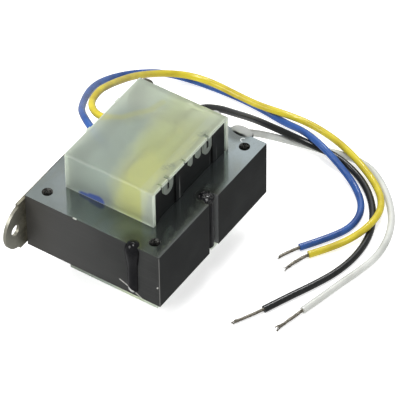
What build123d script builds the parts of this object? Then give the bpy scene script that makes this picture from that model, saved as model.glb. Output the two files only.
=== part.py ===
from build123d import *
import os
from math import radians, tan

# Step-down transformer: a welded EI core standing on its lower coil cover.
# Millimetres. +Z is up, out of the flat sides of the lamination stack.
# +X runs from the mounting foot towards the I laminations; Y runs along the foot.
# The origin is the centre of the footprint of core, covers and foot, on the resting surface.

# ---------------------------------------------------------------- driving sizes
TONGUE = 22.225            # centre leg of the E lamination
HALF = TONGUE / 2          # every other lamination size is a multiple of this
CORE_X = 5 * HALF          # 55.56 over E and I
CORE_Y = 6 * HALF          # 66.68
STACK = 23.8               # height of the pressed stack
CORNER_HOLE = 4.0
GROOVE_W, GROOVE_D = 5.6, 2.3

FOOT_T = 1.2
FOOT_H = 21.0
FOOT_STRAP = 74.8          # straight strap, over both shoulders
FOOT_EAR_R = 9.3
FOOT_EAR_Y = 36.1
FOOT_HOLES = 79.4          # hole to hole
FOOT_HOLE = 4.5

COVER_H = 15.8             # each coil cover beyond the core
COVER_X, COVER_Y = 36.45, 46.06
COVER_WALL = 1.35

BOBBIN_WALL = 1.1
FLANGE_T = 1.2
FLANGE_HALF_Y = 21.35
COIL_SHIFT = 0.65          # the coil sits off centre in its windows by this much
PRIMARY_BUILD = 7.5
SECONDARY_BUILD = 5.2
PRIMARY_MARGIN = 2.3       # free width beside the primary, at the end flange
TAPE = 0.35
GAP = 0.05

LEAD_D = 2.6               # insulated lead
WIRE_D = 1.2               # bare stranded conductor
SLEEVE_D = 3.5

# ---------------------------------------------------------------- derived places
X0 = -(CORE_X - FOOT_T) / 2          # rear face of the core
XI = X0 + 4 * HALF                   # joint between E and I
X1 = X0 + CORE_X                     # front face of the core
Z1 = COVER_H                         # underside of the stack
Z2 = Z1 + STACK                      # top of the stack
ZM = (Z1 + Z2) / 2
ZTOP = Z2 + COVER_H
BX0, BX1 = X0 + HALF + 0.2, XI - 0.2     # bobbin over its end flanges
BXM = (BX0 + BX1) / 2
TUBE_Y, TUBE_Z = 11.8, STACK / 2 + 0.2   # half sizes of the bobbin's bore
OUT_Y, OUT_Z = TUBE_Y + BOBBIN_WALL, TUBE_Z + BOBBIN_WALL
CX, CY = (-17.74 + 18.71) / 2, 0.75      # centre of the top cover
CBX, CBY = CX + 0.6, 0.4                 # centre of the bottom cover

os.makedirs("parts", exist_ok=True)

# ---------------------------------------------------------------- E laminations
with BuildPart() as e_lamination_stack:
    with BuildSketch(Plane.XY.offset(Z1)):
        with Locations((X0 + 2 * HALF, 0)):
            Rectangle(4 * HALF, CORE_Y)
        with Locations((X0 + 2.5 * HALF, 1.5 * HALF), (X0 + 2.5 * HALF, -1.5 * HALF)):
            Rectangle(3 * HALF, HALF, mode=Mode.SUBTRACT)
        with Locations((X0 + HALF / 2, 2.5 * HALF), (X0 + HALF / 2, -2.5 * HALF)):
            Circle(CORNER_HOLE / 2, mode=Mode.SUBTRACT)
    extrude(amount=STACK)
e_lamination_stack.part.label = "e_lamination_stack"
export_step(e_lamination_stack.part, "parts/e_lamination_stack.step")

# ---------------------------------------------------------------- I laminations
# A weld groove runs down the middle of their outer edge.
with BuildPart() as i_lamination_stack:
    with BuildSketch(Plane.XY.offset(Z1)):
        with Locations((XI + HALF / 2, 0)):
            Rectangle(HALF, CORE_Y)
        with Locations((X1 - GROOVE_D / 2, 0)):
            Rectangle(GROOVE_D, GROOVE_W, mode=Mode.SUBTRACT)
        with Locations((XI + HALF / 2, 2.5 * HALF), (XI + HALF / 2, -2.5 * HALF)):
            Circle(CORNER_HOLE / 2, mode=Mode.SUBTRACT)
    extrude(amount=STACK)
i_lamination_stack.part.label = "i_lamination_stack"
export_step(i_lamination_stack.part, "parts/i_lamination_stack.step")

# ---------------------------------------------------------------- seam welds
# One thick rounded bead up each side, over the joint of E and I, running over the top edge.
BEAD_R, HEAD_R = 2.25, 3.0           # radius of the run and of the drop-like head
BEAD_IN = 0.7                        # the bead's axis lies this far inside the core's side
BEAD_LOW = Z1 + 1.2


with BuildPart() as weld_bead_near:
    with BuildSketch(Plane(origin=(XI, -CORE_Y / 2 + BEAD_IN, 0), x_dir=(1, 0, 0), z_dir=(0, -1, 0))):
        with BuildLine():
            ThreePointArc((0, BEAD_LOW), (1.59, BEAD_LOW + 0.66), (BEAD_R, BEAD_LOW + BEAD_R))
            Line((BEAD_R, BEAD_LOW + BEAD_R), (BEAD_R, Z2 - 11.0))
            Bezier((BEAD_R, Z2 - 11.0), (BEAD_R, Z2 - 7.5), (HEAD_R, Z2 - 5.6), (HEAD_R, Z2 - 2.3))
            Bezier((HEAD_R, Z2 - 2.3), (HEAD_R, Z2 - 0.4), (1.7, Z2 + 1.1), (0, Z2 + 1.1))
            Line((0, Z2 + 1.1), (0, BEAD_LOW))
        make_face()
    revolve(axis=Axis((XI, -CORE_Y / 2 + BEAD_IN, 0), (0, 0, 1)))
    with Locations((XI, 0, ZM)):
        Box(40, CORE_Y, STACK, mode=Mode.SUBTRACT)
weld_bead_near.part.label = "weld_bead_near"
export_step(weld_bead_near.part, "parts/weld_bead_near.step")

# The far bead's head has run out flatter and wider over the edge.
with BuildPart() as flat_head:
    Sphere(1.0)
    scale(by=(4.5, 2.6, 2.1))

with BuildPart() as weld_bead_far:
    with BuildSketch(Plane(origin=(XI, CORE_Y / 2 - BEAD_IN, 0), x_dir=(1, 0, 0), z_dir=(0, -1, 0))):
        with BuildLine():
            ThreePointArc((0, BEAD_LOW), (1.59, BEAD_LOW + 0.66), (BEAD_R, BEAD_LOW + BEAD_R))
            Line((BEAD_R, BEAD_LOW + BEAD_R), (BEAD_R, Z2 - 0.5 - BEAD_R))
            ThreePointArc((BEAD_R, Z2 - 0.5 - BEAD_R), (1.59, Z2 - 1.16), (0, Z2 - 0.5))
            Line((0, Z2 - 0.5), (0, BEAD_LOW))
        make_face()
    revolve(axis=Axis((XI, CORE_Y / 2 - BEAD_IN, 0), (0, 0, 1)))
    with Locations((XI + 0.55, CORE_Y / 2 + 0.5, Z2 - 0.9)):
        add(flat_head.part)
    with Locations((XI, 0, ZM)):
        Box(40, CORE_Y, STACK, mode=Mode.SUBTRACT)
weld_bead_far.part.label = "weld_bead_far"
export_step(weld_bead_far.part, "parts/weld_bead_far.step")

# The bead at the bottom of the groove, with its low dome on top of the stack.
with BuildPart() as low_dome:
    Sphere(1.0)
    scale(by=(3.1, 2.9, 1.5))

with BuildPart() as weld_bead_groove:
    with BuildSketch(Plane.XY.offset(Z1 + 0.8)):
        with Locations((X1 - GROOVE_D - 0.5, 0)):
            Circle(2.35)
    extrude(amount=STACK - 1.6)
    with Locations((X1 - 3.15, 0.1, Z2 - 0.75)):
        add(low_dome.part)
    add(i_lamination_stack.part, mode=Mode.SUBTRACT)
    with Locations((XI, 0, ZM)):
        Box(HALF, 12, STACK, mode=Mode.SUBTRACT)
weld_bead_groove.part.label = "weld_bead_groove"
export_step(weld_bead_groove.part, "parts/weld_bead_groove.step")

# ---------------------------------------------------------------- mounting foot
with BuildPart() as mounting_foot:
    with BuildSketch(Plane.YZ.offset(X0 - FOOT_T)):
        with Locations((0, ZM)):
            Rectangle(FOOT_STRAP, FOOT_H)
        with Locations((FOOT_EAR_Y, ZM), (-FOOT_EAR_Y, ZM)):
            Circle(FOOT_EAR_R)
        with Locations((FOOT_HOLES / 2, ZM), (-FOOT_HOLES / 2, ZM)):
            Circle(FOOT_HOLE / 2, mode=Mode.SUBTRACT)
    extrude(amount=FOOT_T)
mounting_foot.part.label = "mounting_foot"
export_step(mounting_foot.part, "parts/mounting_foot.step")

# Four short fillet welds hold the foot's long edges to the back of the core.
with BuildPart() as foot_weld_beads:
    for side in (-1, 1):
        corner = ZM + side * FOOT_H / 2
        for place in (-18.0, 10.0):
            with BuildSketch(Plane.XZ.offset(place)):
                with BuildLine():
                    Line((X0, corner), (X0 - 1.0, corner))
                    ThreePointArc(
                        (X0 - 1.0, corner),
                        (X0 - 0.70, corner + side * 0.70),
                        (X0, corner + side * 1.0),
                    )
                    Line((X0, corner + side * 1.0), (X0, corner))
                make_face()
            extrude(amount=8.0)
foot_weld_beads.part.label = "foot_weld_beads"
export_step(foot_weld_beads.part, "parts/foot_weld_beads.step")

# ---------------------------------------------------------------- bobbin
# A two-section bobbin: square tube over the tongue, an end flange each side and a divider.
# Beyond the core each end flange steps out and carries flush pads and two catch pegs.
PADS = ((-20.70, -17.56), (-7.78, -3.33), (14.78, 22.00))
PEGS = (-12.67, 11.33)
FLANGE_LOW, FLANGE_HIGH = COVER_WALL + 0.15, ZTOP - COVER_WALL - 0.15

with BuildPart() as bobbin:
    with BuildSketch(Plane.YZ.offset(BX0)):
        with Locations((COIL_SHIFT, ZM)):
            Rectangle(2 * OUT_Y, 2 * OUT_Z)
    extrude(amount=BX1 - BX0)
    for start in (BX0, BXM - FLANGE_T / 2, BX1 - FLANGE_T):
        with BuildSketch(Plane.YZ.offset(start)):
            with Locations((COIL_SHIFT, ZM)):
                Rectangle(2 * FLANGE_HALF_Y, FLANGE_HIGH - FLANGE_LOW)
        extrude(amount=FLANGE_T)
    # steps and pads of the end flanges, above and below the core
    for low, high in ((Z2 + 0.15, FLANGE_HIGH), (FLANGE_LOW, Z1 - 0.15)):
        mid, tall = (low + high) / 2, high - low
        with Locations((BX1 + 0.34, COIL_SHIFT, mid), (BX0 - 0.34, COIL_SHIFT, mid)):
            Box(0.68, 2 * FLANGE_HALF_Y, tall)
        for y0, y1 in PADS:
            with Locations((BX1 + 0.94, (y0 + y1) / 2, mid), (BX0 - 0.94, (y0 + y1) / 2, mid)):
                Box(0.52, y1 - y0, tall)
    for y in PEGS:
        with Locations((BX1 + 1.08, y, ZTOP - 3.9), (BX1 + 1.08, y, 3.9), (BX0 - 1.08, y, 3.9)):
            Box(0.8, 0.9, 2.4)
    # open top of the rear flange, where two leads pass
    with Locations((BX0 - 0.2, 0, 51.2)):
        Box(4.4, 30.0, 9.8, mode=Mode.SUBTRACT)
    # the divider stays below the leads
    with Locations((BXM, 0, 52.2)):
        Box(FLANGE_T + 0.2, 60, 5.6, mode=Mode.SUBTRACT)
    with Locations((BXM, COIL_SHIFT, ZM)):
        Box(BX1 - BX0 + 8, 2 * TUBE_Y, 2 * TUBE_Z, mode=Mode.SUBTRACT)
bobbin.part.label = "bobbin"
export_step(bobbin.part, "parts/bobbin.step")


def ring_half(build):
    """Half sizes of a winding over the bobbin's tube with this much build."""
    return OUT_Y + GAP + build, OUT_Z + GAP + build


# ---------------------------------------------------------------- windings and tape
PRIMARY_X = BXM + FLANGE_T / 2 + GAP
SECTION = (BX1 - BX0 - 3 * FLANGE_T) / 2 - 2 * GAP
SECONDARY_X = BX0 + FLANGE_T + GAP

with BuildPart() as primary_winding:
    with BuildSketch(Plane.YZ.offset(PRIMARY_X)):
        hy, hz = ring_half(PRIMARY_BUILD)
        with Locations((COIL_SHIFT, ZM)):
            RectangleRounded(2 * hy, 2 * hz, PRIMARY_BUILD)
            Rectangle(2 * (OUT_Y + GAP), 2 * (OUT_Z + GAP), mode=Mode.SUBTRACT)
    extrude(amount=SECTION - PRIMARY_MARGIN)
primary_winding.part.label = "primary_winding"
export_step(primary_winding.part, "parts/primary_winding.step")

with BuildPart() as secondary_winding:
    with BuildSketch(Plane.YZ.offset(SECONDARY_X)):
        hy, hz = ring_half(SECONDARY_BUILD)
        with Locations((COIL_SHIFT, ZM)):
            RectangleRounded(2 * hy, 2 * hz, SECONDARY_BUILD)
            Rectangle(2 * (OUT_Y + GAP), 2 * (OUT_Z + GAP), mode=Mode.SUBTRACT)
    extrude(amount=SECTION)
secondary_winding.part.label = "secondary_winding"
export_step(secondary_winding.part, "parts/secondary_winding.step")

with BuildPart() as primary_tape:
    with BuildSketch(Plane.YZ.offset(PRIMARY_X)):
        iy, iz = ring_half(PRIMARY_BUILD + GAP)
        with Locations((COIL_SHIFT, ZM)):
            RectangleRounded(2 * (iy + TAPE), 2 * (iz + TAPE), PRIMARY_BUILD + GAP + TAPE)
            RectangleRounded(2 * iy, 2 * iz, PRIMARY_BUILD + GAP, mode=Mode.SUBTRACT)
    extrude(amount=SECTION - PRIMARY_MARGIN)
primary_tape.part.label = "primary_tape"
export_step(primary_tape.part, "parts/primary_tape.step")

with BuildPart() as secondary_tape:
    with BuildSketch(Plane.YZ.offset(SECONDARY_X)):
        iy, iz = ring_half(SECONDARY_BUILD + GAP)
        with Locations((COIL_SHIFT, ZM)):
            RectangleRounded(2 * (iy + TAPE), 2 * (iz + TAPE), SECONDARY_BUILD + GAP + TAPE)
            RectangleRounded(2 * iy, 2 * iz, SECONDARY_BUILD + GAP, mode=Mode.SUBTRACT)
    extrude(amount=SECTION)
secondary_tape.part.label = "secondary_tape"
export_step(secondary_tape.part, "parts/secondary_tape.step")

# ---------------------------------------------------------------- coil covers
# Each cover is a moulded channel over the coil: a top and two side walls, open at both ends,
# with rounded catch loops hanging in front of the bobbin's end flanges.
LOOPS = ((-12.67, 5.8, 7.2), (11.33, 5.0, 7.8))      # centre y, width, drop below the top
TABS = ((1.1, 2.0, 5.5), (5.85, 2.5, 5.6))
LOOP_T = 0.75
LOOP_X = 18.71 - CX - 0.15                           # outer face of a loop, from the cover's centre
NICKS = (-17.05, -2.85)

with BuildPart() as top_cover:
    with Locations((CX, CY, Z2 + COVER_H / 2)):
        Box(COVER_X, COVER_Y, COVER_H)
    fillet(top_cover.faces().sort_by(Axis.Z)[-1].edges().filter_by(Axis.X), 1.1)
    with Locations((CX, CY, Z2 + (COVER_H - COVER_WALL) / 2)):
        Box(COVER_X + 2, COVER_Y - 2 * COVER_WALL, COVER_H - COVER_WALL, mode=Mode.SUBTRACT)
    fillet(
        top_cover.edges().filter_by(Axis.X).filter_by(
            lambda e: abs(e.center().Z - (ZTOP - COVER_WALL)) < 0.01
        ),
        0.6,
    )
    # loops and tabs of the front end, and plain loops at the rear end
    for y, wide, drop in LOOPS + TABS:
        with BuildSketch(Plane.YZ.offset(CX + LOOP_X - LOOP_T)):
            with Locations((y, ZTOP - 0.6 - (drop - 0.6 - wide / 2) / 2)):
                Rectangle(wide, drop - 0.6 - wide / 2)
            with Locations((y, ZTOP - drop + wide / 2)):
                Circle(wide / 2)
        extrude(amount=LOOP_T)
    for y, _, _ in LOOPS:
        with Locations((18.2, y, ZTOP - 2.0)):
            Box(2.4, 1.3, 7.0, mode=Mode.SUBTRACT)
    for y in NICKS:
        with Locations((18.2, y, ZTOP)):
            Box(2.2, 0.9, 4.0, mode=Mode.SUBTRACT)
    # small moulded lugs on the rear edge
    for y in (-7.3, 10.2):
        with Locations((-17.9, y, ZTOP - 0.95)):
            Box(1.0, 2.2, 1.1)
    # window in the far wall for two leads
    with BuildSketch(Plane.XZ.offset(-CY - COVER_Y / 2 - 0.5)):
        with Locations((8.2, 49.2)):
            RectangleRounded(14.6, 7.0, 2.2)
    extrude(amount=COVER_WALL + 1.2, mode=Mode.SUBTRACT)
top_cover.part.label = "top_cover"
export_step(top_cover.part, "parts/top_cover.step")

with BuildPart() as bottom_cover:
    with Locations((CBX, CBY, COVER_H / 2)):
        Box(COVER_X, COVER_Y, COVER_H)
    fillet(bottom_cover.faces().sort_by(Axis.Z)[0].edges().filter_by(Axis.X), 1.1)
    with Locations((CBX, CBY, (COVER_H + COVER_WALL) / 2)):
        Box(COVER_X + 2, COVER_Y - 2 * COVER_WALL, COVER_H - COVER_WALL, mode=Mode.SUBTRACT)
    fillet(
        bottom_cover.edges().filter_by(Axis.X).filter_by(
            lambda e: abs(e.center().Z - COVER_WALL) < 0.01
        ),
        0.3,
    )
    for y, wide, drop in LOOPS:
        with BuildSketch(Plane.YZ.offset(CBX + LOOP_X - LOOP_T)):
            with Locations((y, 0.6 + (drop - 0.6 - wide / 2) / 2)):
                Rectangle(wide, drop - 0.6 - wide / 2)
            with Locations((y, drop - wide / 2)):
                Circle(wide / 2)
        extrude(amount=LOOP_T)
    for y, _, _ in LOOPS:
        with Locations((CBX + LOOP_X, y, 2.0)):
            Box(3.0, 1.3, 7.0, mode=Mode.SUBTRACT)
bottom_cover.part.label = "bottom_cover"
export_step(bottom_cover.part, "parts/bottom_cover.step")

# ---------------------------------------------------------------- leads
# Each lead starts in its splice sleeve on the coil, leaves the top cover and lies down
# on the surface that the transformer stands on.
BLUE = [
    (-8.6, -6.4, 48.9), (-14.6, -5.2, 49.1), (-24.79, 0.67, 48.77), (-32.33, 8.05, 43.72),
    (-38.18, 16.83, 37.02), (-43.62, 26.36, 30.56), (-48.19, 36.08, 24.48), (-51.24, 45.44, 18.45),
    (-52.77, 54.28, 12.89), (-52.6, 62.42, 8.23), (-50.21, 69.59, 4.89), (-44.54, 75.73, 3.07),
    (-35.65, 79.31, 1.68), (-25.33, 80.76, 1.32), (-14.62, 81.22, 1.35), (-3.65, 80.72, 1.31),
    (6.91, 78.8, 1.75), (16.7, 75.47, 5.73), (26.23, 71.73, 7.34), (36.17, 68.87, 4.74),
    (46.11, 64.8, 1.85), (53.67, 57.44, 1.32), (55.56, 47.43, 1.34), (51.18, 37.41, 1.63),
    (45.26, 28.71, 1.35),
]
YELLOW = [
    (-6.5, 16.1, 50.1), (-7.4, 10.9, 51.3), (-12.9, 4.5, 52.05), (-22.41, 4.34, 49.18),
    (-30.49, 10.7, 46), (-34.54, 21.56, 41.62), (-37.17, 31.82, 35.12), (-39.69, 41.35, 28.3),
    (-41.58, 50.52, 21.92), (-42.6, 58.89, 16.02), (-42.25, 66.31, 10.97), (-39.6, 72.94, 7.38),
    (-33.81, 78.03, 5.26), (-25.2, 80.28, 4.11), (-14.85, 79.88, 3.8), (-4.62, 79.26, 4.13),
    (5.11, 80.32, 4.47), (14.28, 82.21, 3.19), (23.48, 81.5, 2.7), (32.85, 77.82, 4.19),
    (42.12, 73.79, 4.22), (51.25, 69.63, 2.27), (58.44, 62.87, 2.63), (62.03, 53.51, 4.5),
    (60.47, 43.66, 3.47), (55.44, 35.14, 1.73), (49.78, 27.43, 1.35),
]
BLACK = [
    (2.6, 11.6, 50.8), (2.6, 18.2, 50.8), (3.94, 28.27, 48.28), (5.77, 37.53, 41.35),
    (6.7, 45.93, 32.77), (6.38, 53.79, 24.69), (6.43, 60.71, 17.33), (8.89, 66.51, 10.91),
    (14.34, 70.66, 6.16), (22.89, 72.77, 3.71), (33.43, 73.1, 3.05), (43.63, 70.39, 1.77),
    (52.21, 64.56, 1.34), (58.87, 56.26, 1.34), (63.07, 46.54, 1.33), (64.24, 35.85, 1.34),
    (62.68, 25.34, 1.34), (59.15, 15.49, 1.45), (54.91, 5.92, 1.45), (51.1, -3.36, 1.35),
]
WHITE = [
    (8.6, 8.6, 50.8), (8.6, 16, 50.8), (8.57, 25.79, 48.65), (7.86, 33.98, 42.99),
    (5.28, 37.81, 33.8), (4.19, 42.46, 24.8), (4.82, 51.01, 18.52), (6.94, 59.65, 12.09),
    (10.31, 66.48, 6.34), (14.6, 70.75, 3.1), (19.75, 73.43, 1.56), (26.89, 74.88, 1.31),
    (35.33, 76.97, 1.36), (44.09, 76.57, 1.53), (52.24, 72.23, 1.34), (59.43, 65.81, 1.34),
    (65.39, 58.21, 1.43), (69.16, 49.31, 1.44), (70.44, 39.79, 1.33), (69.12, 30.78, 1.47),
    (66.83, 21.81, 1.53), (64.76, 12.55, 1.34), (62.62, 3.62, 1.35),
]


def bend_radii(points):
    """The largest arc that each corner's two runs allow."""
    found = []
    for a, b, c in zip(points, points[1:], points[2:]):
        before, after = Vector(*b) - Vector(*a), Vector(*c) - Vector(*b)
        turn = radians(before.get_angle(after))
        found.append(0.45 * min(before.length, after.length) / tan(turn / 2))
    return found


def said(name, points, route, solid, diameter):
    """Prints a tube's radii, its length and how its volume compares with section times length."""
    section = 3.14159265 * diameter**2 / 4
    length = sum(piece.length for piece in route.edges())
    print(
        name, "radii", [round(r, 1) for r in bend_radii(points)],
        "length", round(length, 1),
        "volume share", round(solid.volume / (section * length), 4),
    )


with BuildPart() as lead_blue:
    with BuildLine() as route_blue:
        FilletPolyline(*BLUE, radius=bend_radii(BLUE))
    with BuildSketch(route_blue.line ^ 0):
        Circle(LEAD_D / 2)
    sweep(path=route_blue.line)
lead_blue.part.label = "lead_blue"
export_step(lead_blue.part, "parts/lead_blue.step")
said("lead_blue", BLUE, route_blue.line, lead_blue.part, LEAD_D)

with BuildPart() as lead_yellow:
    with BuildLine() as route_yellow:
        FilletPolyline(*YELLOW, radius=bend_radii(YELLOW))
    with BuildSketch(route_yellow.line ^ 0):
        Circle(LEAD_D / 2)
    sweep(path=route_yellow.line)
lead_yellow.part.label = "lead_yellow"
export_step(lead_yellow.part, "parts/lead_yellow.step")
said("lead_yellow", YELLOW, route_yellow.line, lead_yellow.part, LEAD_D)

with BuildPart() as lead_black:
    with BuildLine() as route_black:
        FilletPolyline(*BLACK, radius=bend_radii(BLACK))
    with BuildSketch(route_black.line ^ 0):
        Circle(LEAD_D / 2)
    sweep(path=route_black.line)
lead_black.part.label = "lead_black"
export_step(lead_black.part, "parts/lead_black.step")
said("lead_black", BLACK, route_black.line, lead_black.part, LEAD_D)

with BuildPart() as lead_white:
    with BuildLine() as route_white:
        FilletPolyline(*WHITE, radius=bend_radii(WHITE))
    with BuildSketch(route_white.line ^ 0):
        Circle(LEAD_D / 2)
    sweep(path=route_white.line)
lead_white.part.label = "lead_white"
export_step(lead_white.part, "parts/lead_white.step")
said("lead_white", WHITE, route_white.line, lead_white.part, LEAD_D)


def stub(points, tip):
    """A bare end: on from the lead's last direction, then bent towards its tip."""
    last, before = Vector(*points[-1]), Vector(*points[-2])
    ahead = (last - before).normalized()
    return [last, last + ahead * 4.0, Vector(*tip)]


BARE_BLUE = stub(BLUE, (41.2, 20.3, 0.75))
BARE_YELLOW = stub(YELLOW, (46.5, 16.4, 0.75))
BARE_BLACK = stub(BLACK, (44.9, -14.6, 0.75))
BARE_WHITE = stub(WHITE, (59.5, -8.9, 0.75))

with BuildPart() as bare_end_blue:
    with BuildLine() as tail_blue:
        FilletPolyline(*BARE_BLUE, radius=6)
    with BuildSketch(tail_blue.line ^ 0):
        Circle(WIRE_D / 2)
    sweep(path=tail_blue.line)
bare_end_blue.part.label = "bare_end_blue"
export_step(bare_end_blue.part, "parts/bare_end_blue.step")

with BuildPart() as bare_end_yellow:
    with BuildLine() as tail_yellow:
        FilletPolyline(*BARE_YELLOW, radius=6)
    with BuildSketch(tail_yellow.line ^ 0):
        Circle(WIRE_D / 2)
    sweep(path=tail_yellow.line)
bare_end_yellow.part.label = "bare_end_yellow"
export_step(bare_end_yellow.part, "parts/bare_end_yellow.step")

with BuildPart() as bare_end_black:
    with BuildLine() as tail_black:
        FilletPolyline(*BARE_BLACK, radius=6)
    with BuildSketch(tail_black.line ^ 0):
        Circle(WIRE_D / 2)
    sweep(path=tail_black.line)
bare_end_black.part.label = "bare_end_black"
export_step(bare_end_black.part, "parts/bare_end_black.step")

with BuildPart() as bare_end_white:
    with BuildLine() as tail_white:
        FilletPolyline(*BARE_WHITE, radius=6)
    with BuildSketch(tail_white.line ^ 0):
        Circle(WIRE_D / 2)
    sweep(path=tail_white.line)
bare_end_white.part.label = "bare_end_white"
export_step(bare_end_white.part, "parts/bare_end_white.step")

# ---------------------------------------------------------------- splice sleeves
# An insulating sleeve over each soldered joint of lead and winding wire, in line with the lead.


def sleeve_plane(points):
    """The face where a lead meets its sleeve, looking away from the lead."""
    return Plane(origin=points[0], z_dir=Vector(*points[0]) - Vector(*points[1]))


with BuildPart() as splice_sleeve_blue:
    with BuildSketch(sleeve_plane(BLUE)):
        Circle(SLEEVE_D / 2)
    extrude(amount=7.5)
splice_sleeve_blue.part.label = "splice_sleeve_blue"
export_step(splice_sleeve_blue.part, "parts/splice_sleeve_blue.step")

with BuildPart() as splice_sleeve_yellow:
    with BuildSketch(sleeve_plane(YELLOW)):
        Circle(SLEEVE_D / 2)
    extrude(amount=5.2)
splice_sleeve_yellow.part.label = "splice_sleeve_yellow"
export_step(splice_sleeve_yellow.part, "parts/splice_sleeve_yellow.step")

with BuildPart() as splice_sleeve_black:
    with BuildSketch(sleeve_plane(BLACK)):
        Circle(SLEEVE_D / 2)
    extrude(amount=11.0)
splice_sleeve_black.part.label = "splice_sleeve_black"
export_step(splice_sleeve_black.part, "parts/splice_sleeve_black.step")

with BuildPart() as splice_sleeve_white:
    with BuildSketch(sleeve_plane(WHITE)):
        Circle(SLEEVE_D / 2)
    extrude(amount=11.0)
splice_sleeve_white.part.label = "splice_sleeve_white"
export_step(splice_sleeve_white.part, "parts/splice_sleeve_white.step")

# The sleeved start of the secondary, lying low between the coil and the near wall.
with BuildPart() as winding_start_sleeve:
    with BuildLine() as start_route:
        FilletPolyline((-1.4, -19.45, 36.4), (-3.2, -19.45, 39.2), (-9.8, -19.45, 39.2), (-13.2, -19.45, 37.6), radius=3)
    with BuildSketch(start_route.line ^ 0):
        Circle(1.3)
    sweep(path=start_route.line)
winding_start_sleeve.part.label = "winding_start_sleeve"
export_step(winding_start_sleeve.part, "parts/winding_start_sleeve.step")
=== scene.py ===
import bpy
import bmesh
import math
import random
from mathutils import Vector, Matrix


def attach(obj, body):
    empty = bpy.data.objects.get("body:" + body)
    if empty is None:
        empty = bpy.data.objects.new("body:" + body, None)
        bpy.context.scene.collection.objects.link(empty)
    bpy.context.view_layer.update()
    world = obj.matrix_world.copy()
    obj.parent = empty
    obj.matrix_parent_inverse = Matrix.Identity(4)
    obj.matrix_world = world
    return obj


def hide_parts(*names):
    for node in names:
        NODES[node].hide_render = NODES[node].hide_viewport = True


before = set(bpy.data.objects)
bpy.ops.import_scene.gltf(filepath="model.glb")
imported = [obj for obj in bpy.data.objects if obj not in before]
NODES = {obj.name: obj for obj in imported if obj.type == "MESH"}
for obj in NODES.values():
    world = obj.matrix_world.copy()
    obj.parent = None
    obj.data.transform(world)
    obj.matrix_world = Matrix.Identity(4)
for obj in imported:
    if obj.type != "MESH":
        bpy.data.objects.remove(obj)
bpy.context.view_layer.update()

MM = 0.001
SCENE = bpy.context.scene


# ------------------------------------------------------------------ camera
def place_camera():
    data = bpy.data.cameras.new("camera")
    cam = bpy.data.objects.new("camera", data)
    SCENE.collection.objects.link(cam)
    right = Vector((0.83228, 0.55426, -0.01041)).normalized()
    back = Vector((0.39895, -0.58581, 0.70545)).normalized()
    up = back.cross(right).normalized()
    right = up.cross(back).normalized()
    turn = Matrix((right, up, back)).transposed()
    cam.matrix_world = Matrix.Translation(Vector((0.54913, -0.77293, 0.96736))) @ turn.to_4x4()
    data.sensor_width = 36.0
    data.lens = 345.9
    data.clip_start, data.clip_end = 0.05, 20.0
    SCENE.camera = cam


place_camera()

# ------------------------------------------------------------------ free leads
# The same corner points as the CAD routes, in metres.
BLUE = [
    (-0.00860, -0.00640, 0.04890), (-0.01460, -0.00520, 0.04910), (-0.02479, 0.00067, 0.04877),
    (-0.03233, 0.00805, 0.04372), (-0.03818, 0.01683, 0.03702), (-0.04362, 0.02636, 0.03056),
    (-0.04819, 0.03608, 0.02448), (-0.05124, 0.04544, 0.01845), (-0.05277, 0.05428, 0.01289),
    (-0.05260, 0.06242, 0.00823), (-0.05021, 0.06959, 0.00489), (-0.04454, 0.07573, 0.00307),
    (-0.03565, 0.07931, 0.00168), (-0.02533, 0.08076, 0.00132), (-0.01462, 0.08122, 0.00135),
    (-0.00365, 0.08072, 0.00131), (0.00691, 0.07880, 0.00175), (0.01670, 0.07547, 0.00573),
    (0.02623, 0.07173, 0.00734), (0.03617, 0.06887, 0.00474), (0.04611, 0.06480, 0.00185),
    (0.05367, 0.05744, 0.00132), (0.05556, 0.04743, 0.00134), (0.05118, 0.03741, 0.00163),
    (0.04526, 0.02871, 0.00135),
]
YELLOW = [
    (-0.00650, 0.01610, 0.05010), (-0.00740, 0.01090, 0.05130), (-0.01290, 0.00450, 0.05205),
    (-0.02241, 0.00434, 0.04918), (-0.03049, 0.01070, 0.04600), (-0.03454, 0.02156, 0.04162),
    (-0.03717, 0.03182, 0.03512), (-0.03969, 0.04135, 0.02830), (-0.04158, 0.05052, 0.02192),
    (-0.04260, 0.05889, 0.01602), (-0.04225, 0.06631, 0.01097), (-0.03960, 0.07294, 0.00738),
    (-0.03381, 0.07803, 0.00526), (-0.02520, 0.08028, 0.00411), (-0.01485, 0.07988, 0.00380),
    (-0.00462, 0.07926, 0.00413), (0.00511, 0.08032, 0.00447), (0.01428, 0.08221, 0.00319),
    (0.02348, 0.08150, 0.00270), (0.03285, 0.07782, 0.00419), (0.04212, 0.07379, 0.00422),
    (0.05125, 0.06963, 0.00227), (0.05844, 0.06287, 0.00263), (0.06203, 0.05351, 0.00450),
    (0.06047, 0.04366, 0.00347), (0.05544, 0.03514, 0.00173), (0.04978, 0.02743, 0.00135),
]
BLACK = [
    (0.00260, 0.01160, 0.05080), (0.00260, 0.01820, 0.05080), (0.00394, 0.02827, 0.04828),
    (0.00577, 0.03753, 0.04135), (0.00670, 0.04593, 0.03277), (0.00638, 0.05379, 0.02469),
    (0.00643, 0.06071, 0.01733), (0.00889, 0.06651, 0.01091), (0.01434, 0.07066, 0.00616),
    (0.02289, 0.07277, 0.00371), (0.03343, 0.07310, 0.00305), (0.04363, 0.07039, 0.00177),
    (0.05221, 0.06456, 0.00134), (0.05887, 0.05626, 0.00134), (0.06307, 0.04654, 0.00133),
    (0.06424, 0.03585, 0.00134), (0.06268, 0.02534, 0.00134), (0.05915, 0.01549, 0.00145),
    (0.05491, 0.00592, 0.00145), (0.05110, -0.00336, 0.00135),
]
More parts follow.
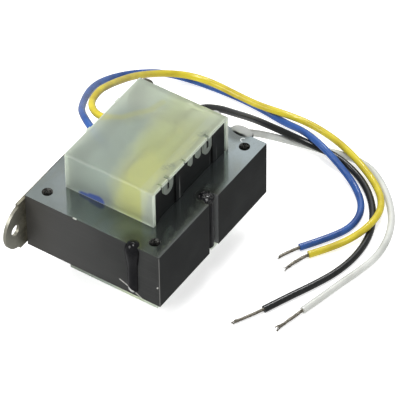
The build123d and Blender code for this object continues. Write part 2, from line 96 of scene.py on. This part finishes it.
WHITE = [
    (0.00860, 0.00860, 0.05080), (0.00860, 0.01600, 0.05080), (0.00857, 0.02579, 0.04865),
    (0.00786, 0.03398, 0.04299), (0.00528, 0.03781, 0.03380), (0.00419, 0.04246, 0.02480),
    (0.00482, 0.05101, 0.01852), (0.00694, 0.05965, 0.01209), (0.01031, 0.06648, 0.00634),
    (0.01460, 0.07075, 0.00310), (0.01975, 0.07343, 0.00156), (0.02689, 0.07488, 0.00131),
    (0.03533, 0.07697, 0.00136), (0.04409, 0.07657, 0.00153), (0.05224, 0.07223, 0.00134),
    (0.05943, 0.06581, 0.00134), (0.06539, 0.05821, 0.00143), (0.06916, 0.04931, 0.00144),
    (0.07044, 0.03979, 0.00133), (0.06912, 0.03078, 0.00147), (0.06683, 0.02181, 0.00153),
    (0.06476, 0.01255, 0.00134), (0.06262, 0.00362, 0.00135),
]
LEAD_D = 0.0026


def free_lead(name, points):
    data = bpy.data.curves.new(name, "CURVE")
    data.dimensions = "3D"
    spline = data.splines.new("NURBS")
    spline.points.add(len(points) - 1)
    for p, q in zip(spline.points, points):
        p.co = (*q, 1.0)
    spline.order_u = 3
    spline.use_endpoint_u = True
    data.resolution_u = 12
    data.bevel_depth = LEAD_D / 2
    data.bevel_resolution = 6
    data.use_fill_caps = True
    obj = bpy.data.objects.new(name, data)
    SCENE.collection.objects.link(obj)
    return obj


LEADS = {
    "blue": free_lead("insulation_blue", BLUE),
    "yellow": free_lead("insulation_yellow", YELLOW),
    "black": free_lead("insulation_black", BLACK),
    "white": free_lead("insulation_white", WHITE),
}


def line_of(curve):
    """The points down the middle of a curve object, as Blender draws it without its bevel."""
    data = curve.data.copy()
    data.bevel_depth = 0.0
    bare = bpy.data.objects.new("bare_line", data)
    mesh = bpy.data.meshes.new_from_object(bare)
    points = [v.co.copy() for v in mesh.vertices]
    bpy.data.meshes.remove(mesh)
    bpy.data.objects.remove(bare)
    bpy.data.curves.remove(data)
    return points


# ------------------------------------------------------------------ small mesh tools
def link(obj):
    SCENE.collection.objects.link(obj)
    return obj


def mesh_from(name, verts, faces, smooth=True):
    mesh = bpy.data.meshes.new(name)
    mesh.from_pydata([tuple(v) for v in verts], [], faces)
    mesh.update()
    for p in mesh.polygons:
        p.use_smooth = smooth
    return link(bpy.data.objects.new(name, mesh))


def tube_into(verts, faces, path, radii, sides):
    """Adds a closed tube along path, with one radius for each point."""
    base = len(verts)
    normal = None
    for i, p in enumerate(path):
        ahead = (path[min(i + 1, len(path) - 1)] - path[max(i - 1, 0)]).normalized()
        if normal is None:
            normal = ahead.orthogonal().normalized()
        normal = (normal - ahead * normal.dot(ahead)).normalized()
        side = ahead.cross(normal)
        r = radii[i]
        for k in range(sides):
            a = 2 * math.pi * k / sides
            verts.append(p + normal * (r * math.cos(a)) + side * (r * math.sin(a)))
    for i in range(len(path) - 1):
        for k in range(sides):
            a, b = base + i * sides + k, base + i * sides + (k + 1) % sides
            faces.append((a, b, b + sides, a + sides))
    faces.append(tuple(base + k for k in reversed(range(sides))))
    last = base + (len(path) - 1) * sides
    faces.append(tuple(last + k for k in range(sides)))


def resample(points, step):
    out = [points[0].copy()]
    left = step
    for a, b in zip(points, points[1:]):
        d = (b - a).length
        at = 0.0
        while d - at >= left:
            at += left
            out.append(a.lerp(b, at / d))
            left = step
        left -= d - at
    if (out[-1] - points[-1]).length > step * 0.3:
        out.append(points[-1].copy())
    return out


# ------------------------------------------------------------------ node shorthand
class Sock:
    """A node socket that can be used in sums."""

    def __init__(self, tree, out):
        self.tree, self.out = tree, out

    def op(self, kind, other=None, third=None):
        n = self.tree.nodes.new("ShaderNodeMath")
        n.operation = kind
        for i, v in enumerate((self, other, third)):
            if v is None:
                continue
            if isinstance(v, Sock):
                self.tree.links.new(v.out, n.inputs[i])
            else:
                n.inputs[i].default_value = float(v)
        return Sock(self.tree, n.outputs[0])

    def __add__(self, o):
        return self.op("ADD", o)

    def __sub__(self, o):
        return self.op("SUBTRACT", o)

    def __mul__(self, o):
        return self.op("MULTIPLY", o)

    def __truediv__(self, o):
        return self.op("DIVIDE", o)

    def power(self, o):
        return self.op("POWER", o)

    def min(self, o):
        return self.op("MINIMUM", o)

    def max(self, o):
        return self.op("MAXIMUM", o)

    def abs(self):
        return self.op("ABSOLUTE")

    def invert(self):
        n = self.tree.nodes.new("ShaderNodeMath")
        n.operation = "SUBTRACT"
        n.inputs[0].default_value = 1.0
        self.tree.links.new(self.out, n.inputs[1])
        return Sock(self.tree, n.outputs[0])

    def step(self, low, high):
        """0 below low, 1 above high, smooth between. low may be above high."""
        n = self.tree.nodes.new("ShaderNodeMapRange")
        n.interpolation_type = "SMOOTHSTEP"
        n.clamp = True
        flip = low > high
        a, b = (high, low) if flip else (low, high)
        n.inputs["From Min"].default_value, n.inputs["From Max"].default_value = a, b
        n.inputs["To Min"].default_value, n.inputs["To Max"].default_value = (1, 0) if flip else (0, 1)
        self.tree.links.new(self.out, n.inputs["Value"])
        return Sock(self.tree, n.outputs["Result"])


class Mat:
    """A material under construction, in millimetres of the row frame."""

    def __init__(self, name):
        self.mat = bpy.data.materials.new(name)
        self.mat.use_nodes = True
        self.tree = self.mat.node_tree
        self.nodes, self.links = self.tree.nodes, self.tree.links
        self.shader = next(n for n in self.nodes if n.type == "BSDF_PRINCIPLED")
        self.output = next(n for n in self.nodes if n.type == "OUTPUT_MATERIAL")
        coord = self.nodes.new("ShaderNodeTexCoord")
        scale = self.nodes.new("ShaderNodeVectorMath")
        scale.operation = "SCALE"
        scale.inputs["Scale"].default_value = 1000.0
        self.links.new(coord.outputs["Object"], scale.inputs[0])
        self.place = scale.outputs[0]
        part = self.nodes.new("ShaderNodeSeparateXYZ")
        self.links.new(self.place, part.inputs[0])
        self.x, self.y, self.z = (Sock(self.tree, part.outputs[i]) for i in range(3))

    def noise(self, scale, detail=3.0, rough=0.55, stretch=(1, 1, 1), seed=0.0, distort=0.0):
        """Noise from 0 to 1; scale in cycles per millimetre."""
        m = self.nodes.new("ShaderNodeVectorMath")
        m.operation = "MULTIPLY_ADD"
        m.inputs[1].default_value = stretch
        m.inputs[2].default_value = (seed, seed * 0.7, -seed)
        self.links.new(self.place, m.inputs[0])
        n = self.nodes.new("ShaderNodeTexNoise")
        n.inputs["Scale"].default_value = scale
        n.inputs["Detail"].default_value = detail
        n.inputs["Roughness"].default_value = rough
        n.inputs["Distortion"].default_value = distort
        self.links.new(m.outputs[0], n.inputs["Vector"])
        return Sock(self.tree, n.outputs["Fac"])

    def mix(self, fac, a, b, kind="MIX"):
        n = self.nodes.new("ShaderNodeMix")
        n.data_type = "RGBA"
        n.blend_type = kind
        for key, v in ((0, fac), (6, a), (7, b)):
            if isinstance(v, Sock):
                self.links.new(v.out, n.inputs[key])
            elif isinstance(v, (int, float)):
                n.inputs[key].default_value = v
            else:
                n.inputs[key].default_value = (*v, 1.0) if len(v) == 3 else v
        return Sock(self.tree, n.outputs[2])

    def set(self, **kw):
        names = {
            "color": "Base Color", "rough": "Roughness", "metal": "Metallic", "ior": "IOR",
            "spec": "Specular IOR Level", "coat": "Coat Weight", "coat_rough": "Coat Roughness",
            "trans": "Transmission Weight", "sss": "Subsurface Weight", "sss_scale": "Subsurface Scale",
            "normal": "Normal", "emit": "Emission Color", "emit_w": "Emission Strength", "sheen": "Sheen Weight",
        }
        for k, v in kw.items():
            s = self.shader.inputs[names[k]]
            if isinstance(v, Sock):
                self.links.new(v.out, s)
            elif isinstance(v, (tuple, list)):
                s.default_value = (*v, 1.0) if len(s.default_value) == 4 and len(v) == 3 else v
            else:
                s.default_value = v
        return self

    def bump(self, height, distance, strength=1.0):
        """height is a socket from 0 to 1, distance its depth in millimetres."""
        n = self.nodes.new("ShaderNodeBump")
        n.inputs["Strength"].default_value = strength
        n.inputs["Distance"].default_value = distance * MM
        self.links.new(height.out, n.inputs["Height"])
        self.links.new(n.outputs[0], self.shader.inputs["Normal"])
        return self

    def segment(self, a, b):
        """Distance in millimetres from the segment a to b."""
        av, bv = Vector(a), Vector(b)
        d = bv - av
        px, py, pz = self.x - av.x, self.y - av.y, self.z - av.z
        t = ((px * d.x + py * d.y + pz * d.z) / d.length_squared).max(0.0).min(1.0)
        ex, ey, ez = px - t * d.x, py - t * d.y, pz - t * d.z
        return (ex * ex + ey * ey + ez * ez).power(0.5)

    def done(self):
        return self.mat


def srgb(r, g, b):
    return tuple(((c / 255 + 0.055) / 1.055) ** 2.4 if c > 10 else c / 255 / 12.92 for c in (r, g, b))


# ------------------------------------------------------------------ materials
def make_core_face():
    m = Mat("varnished_lamination_face")
    cloud = m.noise(0.05, 3, 0.5, seed=3.0)
    fine = m.noise(0.9, 4, 0.6, seed=11.0)
    smear = m.noise(0.16, 3, 0.55, stretch=(1.0, 0.45, 1.0), seed=21.0)
    tone = m.mix(cloud.step(0.35, 0.7), (0.125, 0.146, 0.143), (0.165, 0.190, 0.190))
    # painted reflection: the top is painted paler towards the back edge, standing in for the bright backdrop mirrored
    # in the varnish
    clear = m.segment((28.0, 33.0, 39.6), (2.0, 33.0, 39.6)).step(23.0, 7.0)
    tone = m.mix(clear, tone, (0.225, 0.262, 0.272))
    tone = m.mix(smear.step(0.45, 0.72) * 0.30, tone, (0.14, 0.145, 0.10))
    tone = m.mix((fine.step(0.45, 0.75)) * 0.22, tone, (0.10, 0.108, 0.10))
    near = m.segment((28.4, -34.0, 39.6), (28.4, 2.0, 39.6)).step(9.0, 1.0)
    tone = m.mix(near * 0.8, tone, (0.042, 0.045, 0.042))
    # painted shade: a dark halo painted on the top around the three weld heads, standing in for the darker reflection
    # where the varnish curves up to them
    weld_halo_shade = m.segment((17.3, -33.2, 39.6), (17.3, -31.8, 39.6)).step(7.5, 2.6)
    weld_halo_shade = weld_halo_shade.max(m.segment((17.3, 33.2, 39.6), (17.3, 32.4, 39.6)).step(6.0, 2.6))
    weld_halo_shade = weld_halo_shade.max(m.segment((25.2, 0.0, 39.6), (26.5, 0.0, 39.6)).step(6.0, 2.6))
    tone = m.mix(weld_halo_shade * 0.65, tone, (0.040, 0.042, 0.034))
    # painted highlights: pale thin arcs painted on the top around the groove weld head and beside the far weld,
    # standing in for glints on the weld's curled ridges
    ring = m.segment((24.6, 0.2, 39.6), (24.6, 0.2, 39.61))
    ring_glints = (ring - 3.4).abs().step(0.30, 0.08).max((ring - 4.3).abs().step(0.25, 0.06) * 0.6) * m.x.step(25.4, 23.6)
    tone = m.mix(ring_glints * fine.step(0.35, 0.6) * 0.6, tone, (0.30, 0.32, 0.32))
    curl_glint = m.segment((20.6, 30.3, 39.6), (20.6, 30.3, 39.61))
    curl_glint = (curl_glint - 0.85).abs().step(0.26, 0.12) * m.x.step(21.1, 20.5)
    tone = m.mix(curl_glint, tone, (0.46, 0.48, 0.48))
    nick = m.segment((-6.9, -33.2, 39.6), (-5.9, -33.2, 39.6)).step(0.34, 0.15)
    tone = m.mix(nick, tone, (0.75, 0.75, 0.70))
    m.set(color=tone, metal=0.88, rough=fine * 0.06 + 0.11, coat=0.30, coat_rough=0.06, spec=0.5)
    m.bump(cloud * 0.7 + fine * 0.3, 0.02, 0.35)
    return m.done()


def hole_wall(m, top):
    """Bare, broken metal at the upper rim of the four corner holes."""
    hx, hy = (m.x - 0.6).abs() - 22.225, m.y.abs() - 27.78
    near = (hx * hx + hy * hy).power(0.5).step(2.5, 2.2)
    broken = m.noise(1.3, 3, 0.7, seed=31.0).step(0.46, 0.56)
    return near * broken * m.z.step(top - 3.6, top - 0.9) * 0.8


def make_core_edge():
    m = Mat("varnished_lamination_edges")
    lines = m.noise(1.0, 2, 0.6, stretch=(0.02, 0.02, 2.1), seed=5.0)
    grain = m.noise(2.6, 4, 0.65, seed=2.0)
    blot = m.noise(0.06, 3, 0.5, seed=8.0)
    base = m.mix(blot.step(0.35, 0.7), (0.018, 0.019, 0.0185), (0.028, 0.029, 0.028))
    base = m.mix(m.x.step(22.0, -20.0), base, (0.048, 0.048, 0.046))
    base = m.mix(m.x.step(-10.0, -28.0) * 0.4, base, (0.060, 0.055, 0.044))
    base = m.mix(lines.step(0.50, 0.72) * 0.22, base, (0.075, 0.074, 0.070))
    base = m.mix(grain.step(0.58, 0.76) * 0.35, base, (0.115, 0.115, 0.11))
    # painted sheen: the wall of the weld groove is painted light grey, standing in for light caught there
    groove_wall_sheen = m.x.step(22.8, 23.4) * m.y.step(0.4, 1.2) * m.y.step(6.0, 5.4)
    base = m.mix(groove_wall_sheen, base, (0.15, 0.155, 0.155))
    bright = hole_wall(m, 39.6)
    trace = [(11.8, -33.33, 20.2), (14.3, -33.33, 19.2), (16.3, -33.33, 18.1), (18.8, -33.33, 16.9), (21.4, -33.33, 15.3)]
    scratch = None
    for a, b in zip(trace, trace[1:]):
        d = m.segment(a, b)
        scratch = d if scratch is None else scratch.min(d)
    rub = m.noise(0.9, 3, 0.6, seed=17.0)
    scratch = scratch.step(0.40, 0.10) * rub.step(0.36, 0.52)
    arris = m.segment((28.4, -33.4, 15.8), (28.4, -33.4, 39.0)).step(0.36, 0.12) * 0.22
    nick = m.segment((27.3, -33.33, 24.4), (27.6, -33.33, 24.9)).step(0.34, 0.12)
    nick = nick.max(m.segment((-6.9, -33.33, 39.5), (-5.9, -33.33, 39.5)).step(0.40, 0.20))
    bright = bright.max(scratch).max(nick).max(arris)
    base = m.mix(bright, base, (0.72, 0.72, 0.68))
    m.set(color=base, metal=bright * 0.75 + 0.10, rough=grain * 0.2 + 0.38, spec=0.34)
    m.bump(lines * 0.7 + grain * 0.3, 0.03, 0.5)
    return m.done()


def make_core_shaded_side():
    """The edges on the side of the I laminations, painted darker as painted shade for the side turned away from the
    lights.
    """
    m = Mat("shaded_lamination_edges")
    lines = m.noise(1.0, 2, 0.6, stretch=(0.02, 0.02, 2.1), seed=15.0)
    grain = m.noise(2.0, 3, 0.6, seed=22.0)
    blot = m.noise(0.08, 3, 0.5, seed=28.0)
    base = m.mix(blot.step(0.35, 0.7), (0.008, 0.009, 0.009), (0.014, 0.0155, 0.015))
    base = m.mix(lines.step(0.55, 0.75) * 0.20, base, (0.028, 0.030, 0.029))
    arris = m.segment((28.4, -33.4, 15.8), (28.4, -33.4, 39.0)).step(0.30, 0.10) * 0.22
    base = m.mix(arris, base, (0.55, 0.55, 0.52))
    m.set(color=base, metal=0.05, rough=grain * 0.12 + 0.32, spec=0.09)
    m.bump(lines * 0.7 + grain * 0.3, 0.02, 0.4)
    return m.done()


def make_weld():
    m = Mat("black_weld")
    n = m.noise(0.5, 3, 0.5, seed=4.0)
    base = m.mix(n.step(0.4, 0.8), (0.004, 0.004, 0.005), (0.009, 0.009, 0.010))
    rub = m.noise(0.9, 3, 0.6, seed=17.0)
    scratch = m.segment((12.2, -34.9, 21.9), (22.4, -34.9, 16.5)).step(0.70, 0.25) * rub.step(0.30, 0.48)
    # painted highlights: curl lines on the groove weld's dome drawn pale as glints; bright mixes them with the real
    # scratch
    curl_glint = m.noise(0.42, 2, 0.5, seed=41.0, distort=2.2)
    lines = (curl_glint - 0.5).abs().step(0.028, 0.010)
    groove = m.x.step(21.0, 22.5) * m.z.step(38.2, 39.2)
    # painted sheen: a light grey strip painted on the bead inside the groove, standing in for its lit side
    groove_bead_sheen = m.y.step(0.9, 1.4) * m.y.step(2.6, 2.0) * m.x.step(23.0, 24.0) * m.z.step(39.3, 38.4)
    bright = scratch.max(lines * groove * 0.16)
    base = m.mix(groove_bead_sheen * 0.8, base, (0.070, 0.074, 0.074))
    base = m.mix(bright, base, (0.70, 0.70, 0.68))
    m.set(color=base, metal=bright * 0.6, rough=n * 0.06 + 0.09, spec=0.12, coat=0.14, coat_rough=0.04)
    m.bump(n, 0.10, 0.25)
    return m.done()


def make_weld_far():
    m = Mat("far_weld_painted_reflection")
    n = m.noise(0.5, 3, 0.5, seed=14.0)
    # painted reflection: the head is painted light grey on its top and back, standing in for the bright backdrop it
    # mirrors, and near black at its front rim
    rim = m.z + n * 0.25
    light = rim.step(40.22, 40.48).max(m.y.step(31.9, 32.6) * m.z.step(39.3, 39.6))
    base = m.mix(light, (0.010, 0.011, 0.011), (0.36, 0.37, 0.355))
    m.set(color=base, rough=n * 0.15 + 0.42, spec=0.3)
    m.bump(n, 0.08, 0.4)
    return m.done()


def make_zinc():
    m = Mat("zinc_plate")
    a = m.noise(0.22, 4, 0.6, seed=1.0)
    b = m.noise(1.3, 4, 0.7, seed=6.0)
    c = m.mix(a.step(0.38, 0.66), (0.085, 0.078, 0.052), (0.20, 0.19, 0.135))
    c = m.mix(b.step(0.52, 0.75) * 0.5, c, (0.36, 0.35, 0.28))
    c = m.mix(m.y.step(-33.0, -42.0) * 0.55, c, (0.42, 0.415, 0.36))
    m.set(color=c, metal=0.70, rough=a * 0.22 + 0.30)
    m.bump(b * 0.6 + a * 0.4, 0.05, 0.5)
    return m.done()


def make_nylon(name, low, rim_x, cy, shade=False):
    """Milky moulded walls, tinted by what lies close behind them. Free edges, seen end on, let less through and carry a
    pale painted edge glow.
    """
    m = Mat(name)
    cloud = m.noise(0.07, 3, 0.5, seed=9.0)
    fine = m.noise(1.5, 3, 0.6, seed=7.0)
    drift = m.noise(0.10, 3, 0.5, seed=33.0) * 7.0 - 3.5
    tone = m.mix(cloud, (0.72, 0.80, 0.68), (0.80, 0.86, 0.76))
    across = m.x + m.y * 0.16 + drift
    pale = (across - 3.0).step(-1.0, -7.0) * (m.y + drift).step(15.0, 3.0) * (m.x + drift).step(-19.0, -13.0)
    tone = m.mix(pale * 0.50, tone, (0.40, 0.48, 0.45))
    warm = across.step(-4.5, 4.5) * (0.25 if shade else 1.0) * m.x.step(14.6, 12.8).max(m.z.step(54.3, 55.2) * 0.65) * (m.y.step(26.0, -4.0) * 0.6 + 0.4)
    tone = m.mix(warm * 0.72, tone, (0.74, 0.78, 0.36))
    # the yellow lead where it passes close under the top
    under = [(-17.9, -1.2), (-15.3, 1.2), (-11.5, 3.4), (-8.8, 7.4), (-5.4, 11.6), (-4.0, 17.1)]
    arc = None
    for a, b in zip(under, under[1:]):
        d = m.segment((*a, 55.4), (*b, 55.4))
        arc = d if arc is None else arc.min(d)
    arc = arc.step(2.0, 0.4) * (0.0 if shade else 1.0)
    tone = m.mix(arc * 0.42, tone, (0.74, 0.74, 0.30))
    sleeve = m.segment((-10.8, -22.2, 39.6), (-3.6, -22.2, 40.2)).step(2.1, 0.9)
    sleeve = sleeve.max(m.segment((-6.8, -22.2, 39.8), (-3.9, -22.2, 40.2)).step(2.9, 1.7)) * m.y.step(-19.5, -20.5)
    tone = m.mix(sleeve * 0.9, tone, (0.05, 0.11, 0.46))
    wall = ((m.y - cy).abs() - 21.4).step(-0.2, 0.2).max(((m.z - 27.7).abs() - 26.2).step(-0.2, 0.2))
    edge = (m.z - low).abs().step(0.34, 0.10).max(m.x.step(rim_x - 0.5, rim_x - 0.1) * wall).max(m.x.step(-17.1, -17.5))
    # painted highlight: the rounded long corners are painted paler, standing in for the sheen on them
    corner = ((m.y - cy).abs() - 22.6).step(-0.25, 0.25) * ((m.z - 27.7).abs() - 27.1).step(-0.35, 0.15)
    edge = edge.max(corner * 0.35)
    tone = m.mix(edge * 0.5, tone, (0.86, 0.92, 0.82))
    # painted shadow: dark patches painted on the top beside the two latch slots
    latch_slot_shadow = m.segment((15.0, -9.0, 55.4), (16.4, -7.3, 55.4)).step(2.4, 0.4).max(m.segment((15.9, 10.9, 55.4), (17.0, 12.3, 55.4)).step(2.2, 0.4))
    tone = m.mix(latch_slot_shadow * fine.step(0.3, 0.6) * (0.0 if shade else 0.55), tone, (0.26, 0.31, 0.30))
    loops = wall.invert() * m.x.step(18.0, 18.5)
    tone = m.mix(loops * 0.85, tone, (0.30, 0.33, 0.31))
    tone = m.mix(m.z.step(54.3, 55.2), tone, (0.76, 0.76, 0.75), "MULTIPLY")
    # painted shade: the shaded bottom cover is darkened towards −X, where the key light falls on it most
    if shade:
        tone = m.mix(m.x.step(8.0, -17.0) * 0.75, tone, (0.26, 0.29, 0.24))
    m.set(color=tone, rough=fine * 0.06 + 0.34, ior=1.20, trans=(edge.max(sleeve) * 0.5).invert() * 0.67, spec=0.5)
    m.bump(fine, 0.02, 0.25)
    return m.done()


def make_plastic(name, color, rough=0.35, dark=0.6, spec=0.5, bump=0.02):
    m = Mat(name)
    n = m.noise(0.3, 3, 0.55, seed=2.5)
    f = m.noise(2.0, 3, 0.6, seed=12.0)
    m.set(color=m.mix(n * 0.6, color, tuple(c * dark for c in color)), rough=f * 0.1 + rough - 0.05, spec=spec)
    m.bump(f, bump, 0.3)
    return m.done()


def make_bobbin():
    m = Mat("black_nylon")
    n = m.noise(0.3, 3, 0.55, seed=2.5)
    f = m.noise(2.0, 3, 0.6, seed=12.0)
    base = m.mix(n, (0.006, 0.006, 0.0065), (0.010, 0.010, 0.0105))
    front = m.x.step(16.6, 16.9) * m.z.step(39.6, 39.9)
    # painted highlights: pale lines painted along the slot edges on the bobbin's front flange
    slot_edge_glints = (m.y + 5.6).abs().step(0.24, 0.10) * m.z.step(52.0, 44.0)
    slot_edge_glints = slot_edge_glints.max((m.y - 17.1).abs().step(0.20, 0.08) * m.z.step(48.0, 43.0) * 0.5)
    slot_edge_glints = slot_edge_glints.max((m.y - 13.6).abs().step(0.16, 0.06) * m.z.step(46.0, 42.0) * 0.5)
    base = m.mix(slot_edge_glints * front * 0.85, base, (0.30, 0.31, 0.30))
    m.set(color=base, rough=f * 0.1 + 0.28, spec=0.28)
    m.bump(f, 0.02, 0.3)
    return m.done()


def make_pvc(name, color, dark):
    m = Mat(name)
    n = m.noise(0.12, 2, 0.5, seed=3.5)
    f = m.noise(3.0, 2, 0.5, seed=13.0)
    m.set(color=m.mix(n.step(0.3, 0.8), color, dark), rough=f * 0.06 + 0.20, spec=0.35, coat=0.25, coat_rough=0.05)
    m.bump(n, 0.15, 0.3)
    return m.done()


def make_copper():
    m = Mat("enamelled_copper")
    lines = m.noise(1.0, 2, 0.6, stretch=(3.0, 0.05, 0.05), seed=5.0)
    m.set(color=m.mix(lines, (0.55, 0.20, 0.07), (0.30, 0.09, 0.03)), metal=0.9, rough=lines * 0.1 + 0.25)
    m.bump(lines, 0.1, 0.6)
    return m.done()


def make_tape(name, a, b, rough):
    m = Mat(name)
    n = m.noise(0.15, 3, 0.5, seed=1.5)
    f = m.noise(0.8, 2, 0.5, stretch=(1, 0.15, 0.15), seed=4.5)
    m.set(color=m.mix(n, a, b), rough=f * 0.1 + rough, spec=0.5)
    m.bump(n * 0.6 + f * 0.4, 0.08, 0.4)
    return m.done()


def make_tin():
    m = Mat("tinned_strand")
    n = m.noise(1.6, 3, 0.6, seed=2.0)
    m.set(color=m.mix(n.step(0.4, 0.7), (0.20, 0.185, 0.15), (0.42, 0.39, 0.33)), metal=0.85, rough=n * 0.15 + 0.30)
    m.bump(n, 0.03, 0.4)
    return m.done()


M = {
    "face": make_core_face(),
    "edge": make_core_edge(),
    "end": make_core_shaded_side(),
    "weld": make_weld(),
    "weld_far": make_weld_far(),
    "zinc": make_zinc(),
    "nylon": make_nylon("milky_nylon", 39.6, 18.71, 0.75),
    "nylon_low": make_nylon("milky_nylon_shaded", 15.8, 19.31, 0.4, shade=True),
    "black": make_bobbin(),
    "blue": make_pvc("blue_pvc", srgb(46, 88, 158), srgb(30, 62, 122)),
    "yellow": make_pvc("yellow_pvc", srgb(208, 192, 50), srgb(176, 156, 34)),
    "lead_black": make_pvc("black_pvc", srgb(24, 27, 27), srgb(14, 16, 16)),
    "white": make_pvc("white_pvc", srgb(206, 208, 203), srgb(184, 186, 180)),
    "copper": make_copper(),
    "yellow_tape": make_tape("yellow_tape", srgb(236, 222, 90), srgb(222, 204, 70), 0.25),
    "pale_tape": make_tape("pale_tape", srgb(188, 200, 202), srgb(160, 174, 178), 0.35),
    "tin": make_tin(),
}


def paint(obj, mat):
    obj.data.materials.clear()
    obj.data.materials.append(mat)


for name in ("e_lamination_stack", "i_lamination_stack"):
    o = NODES[name]
    paint(o, M["face"])
    o.data.materials.append(M["edge"])
    o.data.materials.append(M["end"])
    for p in o.data.polygons:
        if abs(p.normal.z) > 0.7:
            p.material_index = 0
        elif p.center.x > 0.0227 and p.normal.x > -0.5 and abs(p.normal.y) < 0.98:
            p.material_index = 2
        else:
            p.material_index = 1

for name, mat in {
    "weld_bead_near": "weld", "weld_bead_far": "weld_far", "weld_bead_groove": "weld",
    "mounting_foot": "zinc", "foot_weld_beads": "weld", "bobbin": "black",
    "primary_winding": "copper", "secondary_winding": "copper",
    "primary_tape": "yellow_tape", "secondary_tape": "pale_tape",
    "top_cover": "nylon", "bottom_cover": "nylon_low", "winding_start_sleeve": "blue",
    "splice_sleeve_blue": "pale_tape", "splice_sleeve_yellow": "pale_tape",
    "splice_sleeve_black": "pale_tape", "splice_sleeve_white": "pale_tape",
}.items():
    paint(NODES[name], M[mat])

# ------------------------------------------------------------------ leads and their bare ends
TIPS = {
    "blue": (0.0412, 0.0203, 0.00075),
    "yellow": (0.0465, 0.0164, 0.00075),
    "black": (0.0449, -0.0146, 0.00075),
    "white": (0.0595, -0.0089, 0.00075),
}
FRAY = {"blue": 0.25, "yellow": 1.0, "black": 0.3, "white": 0.7}


def bare_end(colour):
    lead = LEADS[colour]
    line = line_of(lead)
    end = line[-1]
    ahead = (line[-1] - line[-2]).normalized()
    tip = Vector(TIPS[colour])
    knee = end + ahead * 0.004
    path = []
    for i in range(41):
        t = i / 40
        a = (end - ahead * 0.003).lerp(knee, t)
        path.append(a.lerp(knee.lerp(tip, t), t))
    path = resample(path, 0.00025)
    rng = random.Random({"blue": 11, "yellow": 12, "black": 13, "white": 14}[colour])
    strands = 12
    fray = FRAY[colour]
    verts, faces = [], []
    for s in range(strands):
        inner = s < 3
        ring = 0.00017 if inner else 0.00044
        phase = 2 * math.pi * (s / 3 if inner else (s - 3) / 9) + rng.uniform(-0.12, 0.12)
        pitch = 0.0085
        kick = Vector((rng.uniform(-1, 1), rng.uniform(-1, 1), rng.uniform(-0.2, 1))) * 0.0007 * fray
        cut = int(rng.uniform(0, 6 + 8 * fray))
        pts = []
        at = 0.0
        count = len(path) - cut
        for i in range(count):
            p = path[i]
            fwd = (path[min(i + 1, len(path) - 1)] - path[max(i - 1, 0)]).normalized()
            n1 = fwd.cross(Vector((0, 0, 1))).normalized()
            n2 = fwd.cross(n1)
            if i:
                at += (path[i] - path[i - 1]).length
            ang = phase + 2 * math.pi * at / pitch
            far = max(0.0, (i / (len(path) - 1) - 0.70) / 0.30)
            wob = 1 + 0.25 * fray * math.sin(at * 900 + s * 1.7)
            q = p + (n1 * math.cos(ang) + n2 * math.sin(ang)) * ring * wob * (1 + 0.9 * fray * far * far)
            q = q + kick * far * far
            q.z = max(q.z, 0.00018)
            pts.append(q)
        tube_into(verts, faces, pts, [0.00015] * len(pts), 6)
    obj = mesh_from("strands_" + colour, verts, faces)
    paint(obj, M["tin"])
    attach(obj, "root")
    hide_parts("bare_end_" + colour)
    return obj


PVC = {"blue": "blue", "yellow": "yellow", "black": "lead_black", "white": "white"}
for colour, lead in LEADS.items():
    paint(lead, M[PVC[colour]])
    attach(lead, "root")
    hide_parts("lead_" + colour)
    strands = bare_end(colour)
    NODES["lead_" + colour].hide_render = True
    NODES["lead_" + colour].hide_viewport = True
    NODES["bare_end_" + colour].hide_render = True
    NODES["bare_end_" + colour].hide_viewport = True

# ------------------------------------------------------------------ floor and light
def make_floor():
    m = Mat("studio_floor")
    n = m.noise(0.004, 2, 0.5)
    m.set(color=m.mix(n, (0.74, 0.74, 0.74), (0.77, 0.77, 0.77)), rough=0.9, spec=0.1)
    m.set(emit=(1, 1, 1), emit_w=0.62)
    return m.done()


size = 4.0
floor = mesh_from("studio_floor", [(-size, -size, -0.0001), (size, -size, -0.0001), (size, size, -0.0001), (-size, size, -0.0001)], [(0, 1, 2, 3)], smooth=False)
paint(floor, make_floor())
floor.visible_glossy = False


def area(name, where, to, size, power, color=(1, 1, 1)):
    data = bpy.data.lights.new(name, "AREA")
    data.shape = "RECTANGLE"
    data.size, data.size_y = size
    data.energy = power
    data.color = color
    o = link(bpy.data.objects.new(name, data))
    o.location = where
    o.rotation_mode = "QUATERNION"
    o.rotation_quaternion = (Vector(to) - Vector(where)).to_track_quat("-Z", "Y")
    return o


area("key", (-0.55, -0.75, 0.75), (0, 0, 0.03), (0.6, 0.6), 7.5)
area("top", (0.12, -0.10, 1.15), (0, 0, 0.03), (0.30, 0.45), 6.5)
area("rear", (-0.60, 0.88, 1.05), (0, 0, 0.03), (1.2, 1.0), 4.2)
area("rim", (-0.20, 0.60, 1.05), (0, 0.03, 0.03), (0.22, 0.22), 3.0)

world = bpy.data.worlds.new("studio")
world.use_nodes = True
SCENE.world = world
bg = world.node_tree.nodes["Background"]
bg.inputs["Color"].default_value = (1, 1, 1, 1)
bg.inputs["Strength"].default_value = 0.45

SCENE.view_settings.view_transform = "Standard"
SCENE.view_settings.look = "None"
SCENE.view_settings.exposure = 0.0
